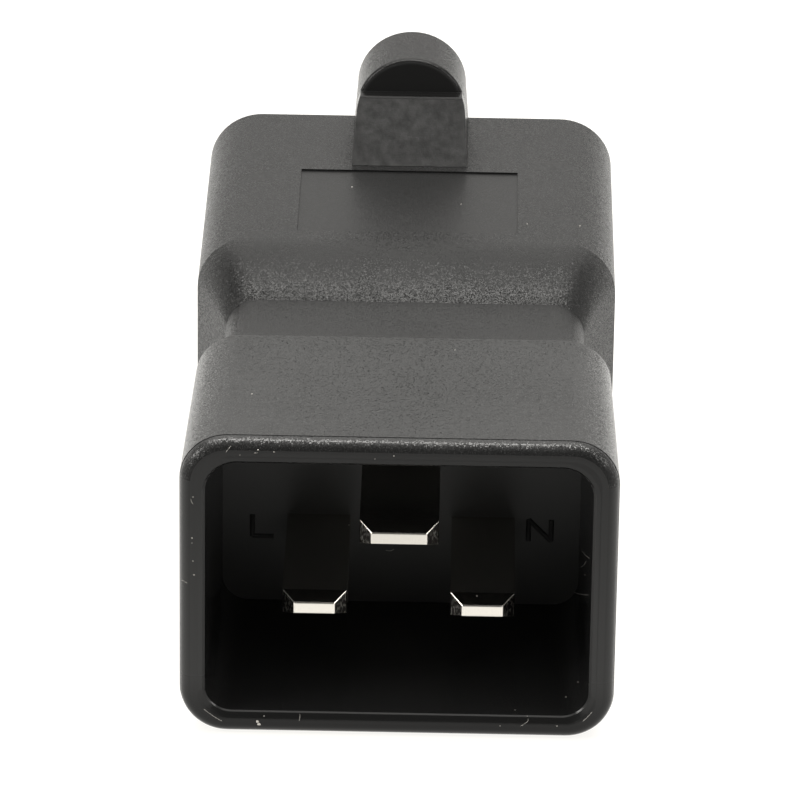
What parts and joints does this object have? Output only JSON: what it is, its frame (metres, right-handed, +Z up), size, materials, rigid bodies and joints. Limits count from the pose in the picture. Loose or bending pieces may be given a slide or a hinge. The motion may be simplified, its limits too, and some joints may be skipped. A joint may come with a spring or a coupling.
{
  "type": "power plug adapter",
  "caption": "Black moulded power adapter: a high-current appliance inlet with flat pins in a shroud at one end, a grounded tee-slot receptacle with a polarity guard at the other.",
  "frame": {"origin": "middle of the box's underside, on the surface that the adapter lies on", "axes": "+Z up; -Y the way the inlet opens and +Y the way the receptacle faces; +X to the right seen from the inlet"},
  "size_m": [0.0338, 0.0606, 0.0345],
  "materials": {
    "shroud_plastic": "black, satin, fine spark-eroded grain",
    "body_plastic": "black, satin, fine spark-eroded grain",
    "face_plastic": "black, smooth satin",
    "carrier_plastic": "black, as moulded",
    "plated_pin": "nickel plated, bright",
    "contact_bronze": "spring bronze strip, as rolled",
    "link_brass": "brass strip, as rolled",
    "rivet_brass": "brass, as set"
  },
  "bodies": {
    "root": {"inlet_shroud": "shroud_plastic", "rear_body": "body_plastic", "receptacle_face": "face_plastic", "contact_carrier": "carrier_plastic", "line_pin": "plated_pin", "neutral_pin": "plated_pin", "earth_pin": "plated_pin", "line_contact": "contact_bronze", "neutral_contact": "contact_bronze", "ground_contact": "contact_bronze", "line_link": "link_brass", "neutral_link": "link_brass", "earth_link": "link_brass", "pin_rivets": "rivet_brass", "contact_rivets": "rivet_brass"}
  },
  "joints": []
}
